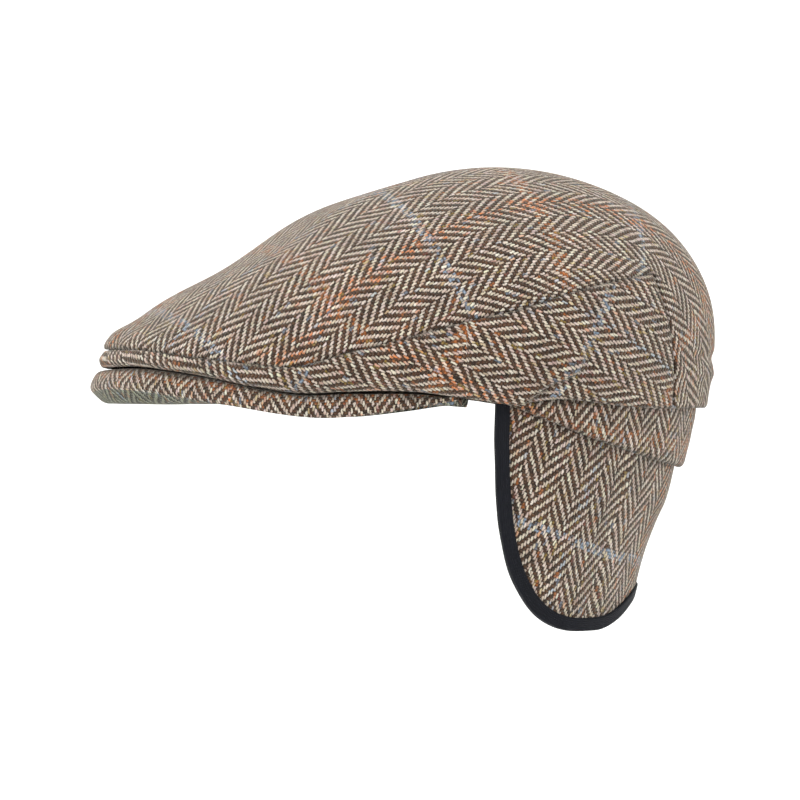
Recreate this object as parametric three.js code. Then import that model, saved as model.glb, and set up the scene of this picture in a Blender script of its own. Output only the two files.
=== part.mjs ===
// Earflap flat cap in herringbone wool tweed, shown with its ear flap folded down.
// Millimetres, +Z up. The peak points to -Y and the wearer's left side is +X.
// The origin is the middle of the head oval, in the plane of the crown's rim.

import * as THREE from 'three';

const degree = Math.PI / 180;

// Driving sizes
const crownWall = 2.5; // one layer of tweed with its seam allowances
const bandWall = 3; // tweed folded double
const flapWall = 3; // two layers sewn back to back
const seamGap = 0.5; // open line between two panels of the crown
const restGap = 0.4; // space between the crown's lower edge and the peak
const apex = { y: 12, z: 102 }; // highest point of the crown

// Plan outlines. Half width is at the ears, front and back are reaches from the origin,
// and squareness is the exponent of the front half; the back half is an ellipse.
const crownFull = { halfWidth: 90, front: 161.5, back: 107.5, squareness: 2.3 };
const crownEdge = { halfWidth: 85, front: 160, back: 104, squareness: 2.25 };
const foreheadOval = { halfWidth: 76, front: 98, back: 98, squareness: 2 };
const bandOval = { halfWidth: 81.8, front: 99.6, back: 99.6, squareness: 2 };

// Angles run from 0 at the centre front to 180 at the centre back.
const frontCorner = 35; // where the top panel's front edge turns into its side edge
const seamCorner = { top: 139, rim: 146 }; // the rear seam, from its upper corner down to the rim

// Heights along the crown: the seam over the side panel, the fullest line, and the lower edge.
const crownHeights = [
  { y: -161, seam: 22.3, full: 18, edge: 13.6 },
  { y: -139, seam: 21.3, full: 17.5, edge: 13.9 },
  { y: -109, seam: 17.3, full: 13.3, edge: 9.7 },
  { y: -89, seam: 14.8, full: 9.8, edge: 5.5 },
  { y: -69, seam: 13.6, full: 7.4, edge: 2.4 },
  { y: -49, seam: 18.7, full: 9, edge: 2.9 },
  { y: -22, seam: 25.4, full: 11.5, edge: 2.6 },
  { y: 0, seam: 31.4, full: 13.5, edge: 0 },
  { y: 24, seam: 37, full: 15, edge: -2 },
  { y: 42, seam: 43, full: 17, edge: 0.6 },
  { y: 62, seam: 48.5, full: 20, edge: -0.4 },
  { y: 82, seam: 53, full: 24, edge: -0.8 },
  { y: 108, seam: 61, full: 28, edge: -0.4 },
];

// Roundness of the dome by angle: 1 is a straight slope, 2 a quarter ellipse.
const domeRoundness = [
  { angle: 0, spread: 1.7, crest: 1.2 },
  { angle: 35, spread: 1.7, crest: 1.25 },
  { angle: 60, spread: 1.95, crest: 1.65 },
  { angle: 90, spread: 2.15, crest: 2.2 },
  { angle: 139, spread: 2, crest: 2.25 },
  { angle: 180, spread: 1.9, crest: 2.25 },
];

// The slack hollow in the front slope of the crown
const slopeHollow = { depth: 5, reach: 0.69, reachSpread: 0.09, angleSpread: 38 };

// The soft crease that climbs back from the rim in front of each ear
const creasePath = [
  { y: 25, z: -1 },
  { y: 33, z: 5 },
  { y: 46, z: 12 },
  { y: 49, z: 24 },
];
const crease = { step: 1.3, width: 2.5, spread: 11, fadeAbove: 30 };

// The peak's lip by angle: how far it stands out past the crown's lower edge.
const lipReach = [
  { angle: 0, reach: 6, foreheadZ: 8 },
  { angle: 30, reach: 5.6, foreheadZ: 8 },
  { angle: 60, reach: 4.4, foreheadZ: 8 },
  { angle: 74, reach: 3.4, foreheadZ: 5 },
  { angle: 81, reach: 0.6, foreheadZ: 3 },
  { angle: 85, reach: -2.2, foreheadZ: 2 },
  { angle: 90, reach: -3.6, foreheadZ: 1.5 },
];
const lipHeights = [
  { y: -160, low: 3.2, thick: 5 },
  { y: -146, low: 4.4, thick: 5 },
  { y: -125, low: 2.6, thick: 5 },
  { y: -100, low: -0.7, thick: 5 },
  { y: -82, low: -3.4, thick: 5 },
  { y: -64, low: -6.4, thick: 5 },
  { y: -52, low: -7, thick: 5 },
  { y: -31, low: -5.2, thick: 4.6 },
  { y: -15, low: -2.6, thick: 3.6 },
  { y: 0, low: 0, thick: 2.6 },
];
const undersideZ = -1.3; // the level underside of the peak in front of the forehead
const hornAngle = 89.4; // the peak's two ends

// The peak's section. Shelf is the level strip under the crown's edge; groove, brow and tuck are
// set in from the nose, and browDrop keeps the brow below the shelf. Nose and chin are heights
// and heel the thickness at the forehead, as shares of the full thickness.
const peakShape = {
  shelf: 5,
  groove: 2.2,
  brow: 1.4,
  browDrop: 0.3,
  tuck: 1.3,
  nose: 0.68,
  chin: 0.3,
  heel: 0.6,
};

// The neck band's lower edge, from beside the ear to the back
const bandTop = 4;
const bandHalfSpan = 84; // degrees from the centre back to either end
const bandRows = [
  { part: 0, roll: 0 },
  { part: 0.45, roll: 0 },
  { part: 0.86, roll: 0 },
  { part: 1, roll: 0.8 },
];
const bandDrop = [
  { y: 8, low: 0.6 },
  { y: 18, low: -2.2 },
  { y: 35, low: -8.6 },
  { y: 50, low: -14.4 },
  { y: 68, low: -20.2 },
  { y: 85, low: -25.3 },
  { y: 99.6, low: -29 },
];
const bandLean = { slope: 0.06, curve: 0.0056 }; // how it draws in below the rim

// The ear flap's outer face by height, and its free edge by angle from the centre back
const flapOvals = [
  { z: 4, halfWidth: 77.2, back: 95.9 },
  { z: 0, halfWidth: 77, back: 95.4 },
  { z: -29, halfWidth: 74.6, back: 89.8 },
  { z: -43, halfWidth: 73.4, back: 86.4 },
  { z: -52, halfWidth: 72.6, back: 82.4 },
  { z: -66, halfWidth: 71.2, back: 77 },
  { z: -84, halfWidth: 69.4, back: 72 },
  { z: -98, halfWidth: 68.2, back: 69 },
];
const flap = {
  top: 3,
  napeZ: -84,
  lobeZ: -95.5,
  lobeAngle: 40,
  frontAngle: 82,
  frontTurn: 87.5, // where the front edge starts, as a turn round the lobe's curve
  roundness: 2.5,
};

// The binding tape: cover on each face, stand-off from the cloth, and its own thickness; the
// bend and the flat are at its fold, and the ends are heights above the flap's front edge.
const tape = { cover: 4.8, gap: 0.3, thick: 0.9, bend: 0.2, flat: 1.2, ends: [2, -3.5] };

// Smooth curve through one column of a table, read at a place along it
function read(table, along, column, place) {
  const last = table.length - 1;
  const rising = table[last][along] > table[0][along] ? 1 : -1;
  let row = 0;
  while (row < last - 1 && (place - table[row + 1][along]) * rising > 0) row += 1;
  const slopeAt = (i) => {
    const before = table[Math.max(i - 1, 0)];
    const after = table[Math.min(i + 1, last)];
    return (after[column] - before[column]) / (after[along] - before[along]);
  };
  const span = table[row + 1][along] - table[row][along];
  const t = THREE.MathUtils.clamp((place - table[row][along]) / span, 0, 1);
  const start = table[row][column];
  const end = table[row + 1][column];
  const leave = slopeAt(row) * span;
  const arrive = slopeAt(row + 1) * span;
  const turn = t * t * (3 - 2 * t);
  return start + (end - start) * turn + leave * t * (1 - t) ** 2 - arrive * t * t * (1 - t);
}

function outline(angle, oval) {
  const across = Math.sin(angle * degree);
  const along = Math.cos(angle * degree);
  const power = along > 0 ? 2 / oval.squareness : 1;
  const reach = along > 0 ? -oval.front : oval.back;
  return {
    x: Math.sign(across) * oval.halfWidth * Math.abs(across) ** power,
    y: reach * Math.abs(along) ** power,
  };
}

// The crown is one smooth surface. Level 0 is the apex, 1 the fullest line and 2 the lower edge.
function crownSurface(angle, level) {
  const full = outline(angle, crownFull);
  const fullZ = read(crownHeights, 'y', 'full', full.y);
  if (level > 1) {
    const edge = outline(angle, crownEdge);
    const edgeZ = read(crownHeights, 'y', 'edge', full.y);
    const down = level - 1;
    return new THREE.Vector3(
      full.x + (edge.x - full.x) * down * down,
      full.y + (edge.y - full.y) * down * down,
      fullZ + (edgeZ - fullZ) * down,
    );
  }
  const side = Math.abs(angle);
  const turn = Math.max(level, 0) * 90 * degree;
  const reach = Math.sin(turn) ** (2 / read(domeRoundness, 'angle', 'spread', side));
  const rise = Math.cos(turn) ** (2 / read(domeRoundness, 'angle', 'crest', side));
  const offReach = (reach - slopeHollow.reach) / slopeHollow.reachSpread;
  const offAngle = side / slopeHollow.angleSpread;
  const hollow = slopeHollow.depth * Math.exp(-(offReach * offReach + offAngle * offAngle) / 2);
  return new THREE.Vector3(
    full.x * reach,
    apex.y + (full.y - apex.y) * reach,
    fullZ + (apex.z - fullZ) * rise - hollow,
  );
}

function crownNormal(angle, level) {
  if (level < 0.01) return new THREE.Vector3(0, 0, 1);
  const step = 0.01;
  const low = Math.min(level + step, 2);
  const along = crownSurface(angle, low).sub(crownSurface(angle, level - step));
  const around = crownSurface(angle + 1, level).sub(crownSurface(angle - 1, level));
  return along.cross(around).normalize();
}

// The crease lifts the cloth in front of it and lets the cloth behind it sink.
function creaseLift(point) {
  const z = THREE.MathUtils.clamp(point.z, creasePath[0].z, creasePath[3].z);
  const behind = point.y - read(creasePath, 'z', 'y', z);
  const fade = Math.exp(-Math.abs(behind) / crease.spread);
  const height = THREE.MathUtils.clamp(1 - point.z / crease.fadeAbove, 0, 1);
  return -crease.step * Math.tanh(behind / crease.width) * fade * height;
}

function seamLevel(angle) {
  const y = outline(angle, crownFull).y;
  const full = read(crownHeights, 'y', 'full', y);
  const seam = read(crownHeights, 'y', 'seam', y);
  const crest = read(domeRoundness, 'angle', 'crest', Math.abs(angle));
  return Math.acos(((seam - full) / (apex.z - full)) ** (crest / 2)) / (90 * degree);
}

// Levels from the seam down to the lower edge, spaced evenly over the cloth
function evenLevels(angle, rows) {
  const fine = 60;
  const top = seamLevel(angle);
  const levels = [];
  const lengths = [0];
  for (let i = 0; i <= fine; i += 1) levels.push(top + ((2 - top) * i) / fine);
  for (let i = 1; i <= fine; i += 1) {
    const piece = crownSurface(angle, levels[i]).distanceTo(crownSurface(angle, levels[i - 1]));
    lengths.push(lengths[i - 1] + piece);
  }
  const even = [];
  let at = 0;
  for (let row = 0; row <= rows; row += 1) {
    const wanted = (lengths[fine] * row) / rows;
    while (at < fine - 1 && lengths[at + 1] < wanted) at += 1;
    const part = (wanted - lengths[at]) / (lengths[at + 1] - lengths[at]);
    even.push(levels[at] + (levels[at + 1] - levels[at]) * part);
  }
  return even;
}

// Half the seam's opening, as a step in level and as a step in angle
function levelGap(angle, level) {
  const step = 0.01;
  const length = crownSurface(angle, level + step).distanceTo(crownSurface(angle, level - step));
  return (seamGap / 2) * ((2 * step) / length);
}

function angleGap(angle, level) {
  const lengthPerDegree = crownSurface(angle + 0.5, level).distanceTo(crownSurface(angle - 0.5, level));
  return seamGap / 2 / lengthPerDegree;
}

function crownPair(angle, level) {
  const normal = crownNormal(angle, level);
  const outer = crownSurface(angle, level);
  outer.addScaledVector(normal, creaseLift(outer));
  const inner = outer.clone().addScaledVector(normal, -crownWall);
  return { outer, inner };
}

// A closed wall of cloth from a grid of outer and inner points
function clothSolid(name, look, pairs) {
  const rows = pairs.length;
  const columns = pairs[0].length;
  const count = rows * columns;
  const points = [...pairs.flat().map((pair) => pair.outer), ...pairs.flat().map((pair) => pair.inner)];
  const triangles = [];
  const quad = (a, b, c, d) => {
    if (points[a].distanceTo(points[c]) < points[b].distanceTo(points[d])) {
      triangles.push([a, b, c], [a, c, d]);
    } else {
      triangles.push([a, b, d], [b, c, d]);
    }
  };
  const at = (row, column) => row * columns + column;
  for (let row = 0; row < rows - 1; row += 1) {
    for (let column = 0; column < columns - 1; column += 1) {
      const corners = [at(row, column), at(row, column + 1), at(row + 1, column + 1), at(row + 1, column)];
      quad(...corners);
      quad(...corners.map((corner) => corner + count).reverse());
    }
  }
  const rim = [];
  for (let column = 0; column < columns - 1; column += 1) rim.push(at(0, column));
  for (let row = 0; row < rows - 1; row += 1) rim.push(at(row, columns - 1));
  for (let column = columns - 1; column > 0; column -= 1) rim.push(at(rows - 1, column));
  for (let row = rows - 1; row > 0; row -= 1) rim.push(at(row, 0));
  rim.forEach((here, i) => {
    const next = rim[(i + 1) % rim.length];
    quad(here, here + count, next + count, next);
  });
  const volume = triangles.reduce(
    (sum, [a, b, c]) => sum + points[a].dot(points[b].clone().cross(points[c])),
    0,
  );
  const facing = volume > 0 ? triangles : triangles.map(([a, b, c]) => [a, c, b]);
  const geometry = new THREE.BufferGeometry().setFromPoints(points);
  geometry.setIndex(facing.flat());
  geometry.computeVertexNormals();
  const mesh = new THREE.Mesh(geometry, look);
  mesh.name = name;
  return mesh;
}

function tweed(colour) {
  return new THREE.MeshStandardMaterial({ color: colour, roughness: 0.95, metalness: 0 });
}

// Crown: a top panel between two side panels
const halfAcross = 9;
const alongSide = 22;
const tailRows = 7;
const seamSwing = 6; // how late the side panel's columns swing over to the rear seam

// The front and flanks of the top panel are a square laid over a disc round the apex.
function discPlace(across, along) {
  const ring = Math.max(Math.abs(across), Math.abs(along));
  if (ring === 0) return { angle: 0, ring };
  if (Math.abs(across) > Math.abs(along)) {
    const part = (along / ring + 1) / 2;
    const angle = frontCorner + (seamCorner.top - frontCorner) * part;
    return { angle: Math.sign(across) * angle, ring };
  }
  const part = across / ring;
  if (along < 0) return { angle: part * frontCorner, ring };
  const side = part < 0 ? -1 : 1;
  return { angle: side * (180 - Math.abs(part) * (180 - seamCorner.top)), ring };
}

function makeCrownTop() {
  const pairs = [];
  for (let row = 0; row <= alongSide; row += 1) {
    const line = [];
    for (let column = -halfAcross; column <= halfAcross; column += 1) {
      const place = discPlace(column / halfAcross, (2 * row) / alongSide - 1);
      let edge = seamLevel(place.angle);
      const atBack = row === alongSide && Math.abs(column) < halfAcross;
      if (!atBack) edge -= levelGap(place.angle, edge);
      line.push(crownPair(place.angle, edge * place.ring));
    }
    pairs.push(line);
  }
  for (let row = 1; row <= tailRows; row += 1) {
    const line = [];
    for (let column = -halfAcross; column <= halfAcross; column += 1) {
      const side = column < 0 ? -1 : 1;
      const part = Math.abs(column) / halfAcross;
      const start = 180 - part * (180 - seamCorner.top);
      const level = evenLevels(start, tailRows)[row];
      const lean = ((seamCorner.rim - seamCorner.top) * row) / tailRows;
      let angle = start + part * lean;
      if (part === 1) angle += angleGap(angle, level);
      line.push(crownPair(side * angle, level));
    }
    pairs.push(line);
  }
  return clothSolid('crown_top', tweed('#8d8069'), pairs);
}

function makeCrownSide(name, side) {
  const tops = [];
  for (let i = 0; i < halfAcross; i += 1) tops.push((frontCorner * i) / halfAcross);
  for (let i = 0; i <= alongSide; i += 1) {
    tops.push(frontCorner + ((seamCorner.top - frontCorner) * i) / alongSide);
  }
  const pairs = tops.map((top) => {
    const share = top / seamCorner.top;
    return evenLevels(top, tailRows).map((even, row) => {
      const level = row === 0 ? even + levelGap(top, even) : even;
      const lean = ((seamCorner.rim - seamCorner.top) * row) / tailRows;
      let angle = top + share ** seamSwing * lean;
      if (top === 0) angle += angleGap(angle, level);
      if (top === seamCorner.top) angle -= angleGap(angle, level);
      return crownPair(side * angle, level);
    });
  });
  return clothSolid(name, tweed('#7c6c57'), pairs);
}

// Peak: a cloth-covered crescent that carries the crown's front edge on its upper face
function makePeak() {
  const steps = 40;
  const pairs = [];
  for (let step = 0; step <= steps; step += 1) {
    const angle = hornAngle * ((2 * step) / steps - 1);
    const side = Math.abs(angle);
    const edge = crownSurface(angle, 2);
    const ahead = crownSurface(angle + 0.5, 2);
    const behind = crownSurface(angle - 0.5, 2);
    const outward = new THREE.Vector3(ahead.y - behind.y, behind.x - ahead.x, 0).normalize();
    const reach = read(lipReach, 'angle', 'reach', side);
    const low = read(lipHeights, 'y', 'low', edge.y);
    const thick = read(lipHeights, 'y', 'thick', edge.y);
    const forehead = outline(angle, foreheadOval);
    const inner = new THREE.Vector3(forehead.x, forehead.y, read(lipReach, 'angle', 'foreheadZ', side));
    const groove = edge.clone().addScaledVector(outward, Math.min(0, reach - peakShape.groove));
    groove.z = edge.z - restGap;
    const width = Math.hypot(groove.x - inner.x, groove.y - inner.y);
    const bench = groove.clone().lerp(inner, Math.min(0.4, peakShape.shelf / width));
    bench.z = groove.z;
    const middle = bench.clone().lerp(inner, 0.5);
    const brow = edge.clone().addScaledVector(outward, reach - peakShape.brow);
    brow.z = Math.min((groove.z + low + thick) / 2, groove.z - peakShape.browDrop);
    const nose = edge.clone().addScaledVector(outward, reach);
    nose.z = low + thick * peakShape.nose;
    const chin = nose.clone();
    chin.z = low + thick * peakShape.chin;
    const tuck = edge.clone().addScaledVector(outward, reach - peakShape.tuck);
    tuck.z = low;
    const below = (point) => point.clone().setZ(Math.min(point.z - thick, undersideZ));
    pairs.push([
      { outer: inner, inner: inner.clone().setZ(inner.z - thick * peakShape.heel) },
      { outer: middle, inner: below(middle) },
      { outer: bench, inner: below(bench) },
      { outer: groove, inner: below(groove) },
      { outer: brow, inner: tuck },
      { outer: nose, inner: chin },
    ]);
  }
  return clothSolid('peak', tweed('#8a7d66'), pairs);
}

// Neck band: a wedge below the rim that grows toward the back
function makeNeckBand() {
  const steps = 44;
  const pairs = [];
  for (let step = 0; step <= steps; step += 1) {
    const angle = 180 + bandHalfSpan * ((2 * step) / steps - 1);
    const place = outline(angle, bandOval);
    const low = read(bandDrop, 'y', 'low', place.y);
    const outward = new THREE.Vector3(place.x / bandOval.halfWidth ** 2, place.y / bandOval.back ** 2, 0);
    outward.normalize();
    const wallAt = (part, roll) => {
      const z = bandTop + (low - bandTop) * part;
      const depth = Math.max(0, -z);
      const draw = bandLean.slope * depth + bandLean.curve * depth * depth;
      const face = new THREE.Vector3(place.x, place.y, z).addScaledVector(outward, -draw);
      return {
        outer: face.clone().addScaledVector(outward, -roll),
        inner: face.clone().addScaledVector(outward, roll - bandWall),
      };
    };
    pairs.push(bandRows.map((row) => wallAt(row.part, row.roll)));
  }
  return clothSolid('neck_band', tweed('#75654f'), pairs);
}

// Ear flap: one piece round the back; angles here run from the centre back toward each ear
function flapSurface(angle, z) {
  const halfWidth = read(flapOvals, 'z', 'halfWidth', z);
  const back = read(flapOvals, 'z', 'back', z);
  return new THREE.Vector3(halfWidth * Math.sin(angle * degree), back * Math.cos(angle * degree), z);
}

function flapNormal(angle, z) {
  const around = flapSurface(angle + 0.5, z).sub(flapSurface(angle - 0.5, z));
  const up = flapSurface(angle, z + 0.5).sub(flapSurface(angle, z - 0.5));
  return up.cross(around).normalize();
}

// The free edge from the ear's front edge to the centre back, as angle and height
function flapEdge() {
  const lobeSteps = 14;
  const napeSteps = 8;
  const places = [];
  for (let i = 0; i <= lobeSteps; i += 1) {
    const turn = (flap.frontTurn * (lobeSteps - i) * degree) / lobeSteps;
    const span = flap.frontAngle - flap.lobeAngle;
    places.push({
      angle: flap.lobeAngle + span * Math.sin(turn) ** (2 / flap.roundness),
      z: flap.lobeZ * Math.cos(turn) ** (2 / flap.roundness),
    });
  }
  for (let i = 1; i <= napeSteps; i += 1) {
    const angle = flap.lobeAngle * (1 - i / napeSteps);
    const rise = (1 + Math.cos((Math.PI * angle) / flap.lobeAngle)) / 2;
    places.push({ angle, z: flap.lobeZ + (flap.napeZ - flap.lobeZ) * rise });
  }
  return places;
}

function wholeFlapEdge() {
  const half = flapEdge();
  const mirrored = half.slice(0, -1).reverse();
  return [...half, ...mirrored.map((place) => ({ angle: -place.angle, z: place.z }))];
}

function makeEarFlap() {
  const rows = 9;
  const pairs = wholeFlapEdge().map((place) => {
    const column = [];
    for (let row = 0; row <= rows; row += 1) {
      const z = flap.top + ((place.z - flap.top) * row) / rows;
      const outer = flapSurface(place.angle, z);
      const inner = outer.clone().addScaledVector(flapNormal(place.angle, z), -flapWall);
      column.push({ outer, inner });
    }
    return column;
  });
  return clothSolid('ear_flap', tweed('#86765d'), pairs);
}

// Binding: tape folded over the flap's free edge, from one ear's front edge round to the other
function makeFlapBinding() {
  const free = wholeFlapEdge();
  const first = free[0].angle;
  const places = [
    ...tape.ends.map((z) => ({ angle: first, z })),
    ...free,
    ...[...tape.ends].reverse().map((z) => ({ angle: -first, z })),
  ];
  const middle = (place) => {
    const normal = flapNormal(place.angle, place.z);
    return flapSurface(place.angle, place.z).addScaledVector(normal, -flapWall / 2);
  };
  const near = flapWall / 2 + tape.gap;
  const far = near + tape.thick;
  const tip = tape.gap + tape.thick;
  const fold = [
    { outer: [-tape.cover, far], inner: [-tape.cover, near] },
    { outer: [tape.bend, far], inner: [tape.bend / 2, near] },
    { outer: [tip, tape.flat], inner: [tape.gap, near - tape.gap] },
    { outer: [tip, -tape.flat], inner: [tape.gap, tape.gap - near] },
    { outer: [tape.bend, -far], inner: [tape.bend / 2, -near] },
    { outer: [-tape.cover, -far], inner: [-tape.cover, -near] },
  ];
  const pairs = places.map((place, i) => {
    const centre = middle(place);
    const before = middle(places[Math.max(i - 1, 0)]);
    const after = middle(places[Math.min(i + 1, places.length - 1)]);
    const normal = flapNormal(place.angle, place.z);
    const outward = after.sub(before).cross(normal).normalize();
    const put = ([past, off]) => centre.clone().addScaledVector(outward, past).addScaledVector(normal, off);
    return fold.map((corner) => ({ outer: put(corner.outer), inner: put(corner.inner) }));
  });
  const navy = new THREE.MeshStandardMaterial({ color: '#1c2230', roughness: 0.8, metalness: 0 });
  return clothSolid('flap_binding', navy, pairs);
}

const crown = new THREE.Group();
crown.add(makeCrownTop(), makeCrownSide('crown_side_left', 1), makeCrownSide('crown_side_right', -1));

const earFlap = new THREE.Group();
earFlap.add(makeEarFlap(), makeFlapBinding());

const cap = new THREE.Group();
cap.add(crown, makePeak(), makeNeckBand(), earFlap);

export default cap;
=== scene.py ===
import math

import bpy
import numpy as np
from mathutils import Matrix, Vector
from mathutils.bvhtree import BVHTree


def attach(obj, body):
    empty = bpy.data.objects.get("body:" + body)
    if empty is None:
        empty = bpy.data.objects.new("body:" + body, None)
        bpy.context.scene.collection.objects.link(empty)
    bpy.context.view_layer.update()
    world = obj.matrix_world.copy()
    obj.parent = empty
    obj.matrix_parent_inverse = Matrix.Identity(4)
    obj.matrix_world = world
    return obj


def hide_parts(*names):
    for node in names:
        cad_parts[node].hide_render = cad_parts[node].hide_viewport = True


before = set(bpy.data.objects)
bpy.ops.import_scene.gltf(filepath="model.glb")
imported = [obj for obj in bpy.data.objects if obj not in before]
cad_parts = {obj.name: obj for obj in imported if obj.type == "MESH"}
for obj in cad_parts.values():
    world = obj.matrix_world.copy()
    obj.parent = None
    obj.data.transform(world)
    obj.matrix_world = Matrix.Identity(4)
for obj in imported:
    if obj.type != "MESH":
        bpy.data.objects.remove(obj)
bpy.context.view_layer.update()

# Earflap flat cap in herringbone wool tweed, its ear flap folded down.
# Sizes are in millimetres and become metres when a mesh is made. The peak points to -Y and the
# wearer's left side is +X. Angles run from 0 at the centre front to 180 at the centre back.
mm = 0.001
scene = bpy.context.scene


def addObject(name, data):
    made = bpy.data.objects.new(name, data)
    scene.collection.objects.link(made)
    return made


# Camera, light and floor

cameraPlan = {
    "place": (1.0, 0.014, -0.004),  # level with the rim, a metre off the wearer's left
    "yaw": 2.52,  # degrees turned toward the peak
    "pitch": 0.25,
    "lens": 102.3,
    "sensor": 36,
}


def makeCamera():
    yaw = math.radians(cameraPlan["yaw"])
    pitch = math.radians(cameraPlan["pitch"])
    ahead = Vector((-math.cos(yaw), -math.sin(yaw), math.tan(pitch)))
    lens = bpy.data.cameras.new("sideView")
    lens.lens = cameraPlan["lens"]
    lens.sensor_width = cameraPlan["sensor"]
    camera = addObject("sideView", lens)
    camera.location = cameraPlan["place"]
    camera.rotation_euler = ahead.to_track_quat("-Z", "Y").to_euler()
    scene.camera = camera


stagePlan = {
    "floor": -0.3,
    "flat": 2.6,  # radius of the level floor, in metres
    "bend": 1.2,
    "wall": 3.0,
    "bendSteps": 12,
    "around": 96,
    "colours": ("#f4f4f3", "#efefee"),
    "mottle": 3.0,
    "world": 0.62,
    "glow": 0.34,  # the sweep is lit from behind a little, so that it reads as plain white
}
# Soft boxes that look at the cap: where each stands, how wide it is, in metres, and its power
lightPlan = {
    "overhead": ((0.5, -0.2, 1.7), 1.6, 30),
    "frontLeft": ((1.3, -1.4, 0.7), 1.2, 17),
    "rearLeft": ((0.9, 1.5, 0.9), 1.1, 12),
    "farSide": ((-1.4, 0.3, 1.1), 1.2, 7),
}


def linear(hexColour):
    # sRGB hex to linear red, green, blue and alpha
    parts = [int(hexColour[i : i + 2], 16) / 255 for i in (1, 3, 5)]
    curved = [c / 12.92 if c <= 0.04045 else ((c + 0.055) / 1.055) ** 2.4 for c in parts]
    return (*curved, 1.0)


def put(tree, kind, inputs=(), **settings):
    # Adds one node; its operation may follow its kind after a dot. Inputs are values or sockets, by
    # order or by name. Gives back its output in use.
    kind, _, operation = kind.partition(".")
    made = tree.nodes.new("ShaderNode" + kind)
    if operation:
        made.operation = operation
    for key, value in settings.items():
        setattr(made, key, value)
    for key, value in inputs.items() if isinstance(inputs, dict) else enumerate(inputs):
        if isinstance(value, bpy.types.NodeSocket):
            tree.links.new(value, made.inputs[key])
        elif value is not None:
            made.inputs[key].default_value = value
    return next((socket for socket in made.outputs if socket.enabled), None)


def startMaterial(name):
    made = bpy.data.materials.new(name)
    made.use_nodes = True
    made.node_tree.nodes.clear()
    return made, made.node_tree


def makeStage():
    # painted sweep, matt: a seamless pale ground from every side
    sweep, tree = startMaterial("mattPaintedSweep")
    grain = put(tree, "TexNoise", {"Scale": stagePlan["mottle"], "Detail": 2.0})
    pale, darker = (linear(colour) for colour in stagePlan["colours"])
    tone = put(tree, "Mix", {0: grain, 6: pale, 7: darker}, data_type="RGBA")
    glow = {"Emission Color": (1, 1, 1, 1), "Emission Strength": stagePlan["glow"]}
    paint = put(tree, "BsdfPrincipled", {"Base Color": tone, "Roughness": 0.9} | glow)
    put(tree, "OutputMaterial", {"Surface": paint})

    flat, bend, steps = stagePlan["flat"], stagePlan["bend"], stagePlan["bendSteps"]
    profile = [(0.001, 0), (flat, 0)]
    for step in range(1, steps + 1):
        turn = step * math.pi / (2 * steps)
        profile.append((flat + bend * math.sin(turn), bend * (1 - math.cos(turn))))
    profile.append((flat + bend, stagePlan["wall"]))
    around = stagePlan["around"]
    points = []
    faces = []
    for radius, height in profile:
        for step in range(around):
            turn = 2 * math.pi * step / around
            points.append((radius * math.cos(turn), radius * math.sin(turn), stagePlan["floor"] + height))
    for ring in range(len(profile) - 1):
        inner, outer = ring * around, (ring + 1) * around
        for step in range(around):
            after = (step + 1) % around
            faces.append((inner + step, inner + after, outer + after, outer + step))
    mesh = bpy.data.meshes.new("floorSweep")
    mesh.from_pydata(points, [], faces)
    mesh.shade_smooth()
    mesh.materials.append(sweep)
    addObject("floorSweep", mesh)

    for name, (place, wide, power) in lightPlan.items():
        lamp = bpy.data.lights.new(name, "AREA")
        lamp.shape = "DISK"
        lamp.size = wide
        lamp.energy = power
        holder = addObject(name, lamp)
        holder.location = place
        holder.rotation_euler = (-Vector(place)).to_track_quat("-Z", "Y").to_euler()

    sky = bpy.data.worlds.new("whiteRoom")
    sky.use_nodes = True
    ground = sky.node_tree.nodes["Background"]
    ground.inputs["Color"].default_value = linear("#ffffff")
    ground.inputs["Strength"].default_value = stagePlan["world"]
    scene.world = sky
    scene.view_settings.view_transform = "Standard"


makeCamera()
makeStage()
print("camera, lights and floor made")


# Shapes shared by the pieces

walls = {"crown": 2.5, "band": 3.0, "flap": 3.0, "restGap": 0.4}
seamLap = 0.5  # sewn panels press into each other, so that no light shows through a seam
bluntEdge = 0.0025  # keeps a rolled edge from coming to a knife edge
allSides = ("first", "last", "left", "right")
apex = {"y": 12, "z": 102}

# Plan outlines; squareness is the exponent of the front half, and the back half is an ellipse
crownFull = {"halfWidth": 90, "front": 161.5, "back": 107.5, "squareness": 2.3}
crownEdge = {"halfWidth": 85, "front": 160, "back": 104, "squareness": 2.25}
foreheadOval = {"halfWidth": 76, "front": 98, "back": 98, "squareness": 2}
bandOval = {"halfWidth": 81.8, "front": 99.6, "back": 99.6, "squareness": 2}

frontCorner = 35  # where the top panel's front edge turns into its side edge
seamCorner = {"top": 139, "rim": 146}  # the rear seam, from its upper corner to the rim

# Heights along the crown: the seam over the side panel, the fullest line, and the lower edge
crownHeights = {
    "y": [-161, -139, -109, -89, -69, -49, -22, 0, 24, 42, 62, 82, 108],
    "seam": [22.3, 21.3, 17.3, 14.8, 13.6, 18.7, 25.4, 31.4, 37, 43, 48.5, 53, 61],
    "full": [18, 17.5, 13.3, 9.8, 7.4, 9, 11.5, 13.5, 15, 17, 20, 24, 28],
    "edge": [13.6, 13.9, 9.7, 5.5, 2.4, 2.9, 2.6, 0, -2, 0.6, -0.4, -0.8, -0.4],
}
# Roundness of the dome by angle: 1 is a straight slope, 2 a quarter ellipse
domeRoundness = {
    "angle": [0, 35, 60, 90, 139, 180],
    "spread": [1.7, 1.7, 1.95, 2.15, 2, 1.9],
    "crest": [1.2, 1.25, 1.65, 2.2, 2.25, 2.25],
}
slopeHollow = {"depth": 5, "reach": 0.69, "reachSpread": 0.09, "angleSpread": 38}
creasePath = {"z": [-1, 5, 12, 24], "y": [25, 33, 46, 49]}
crease = {"step": 2.1, "width": 1.1, "spread": 9, "fadeAbove": 34}


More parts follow.
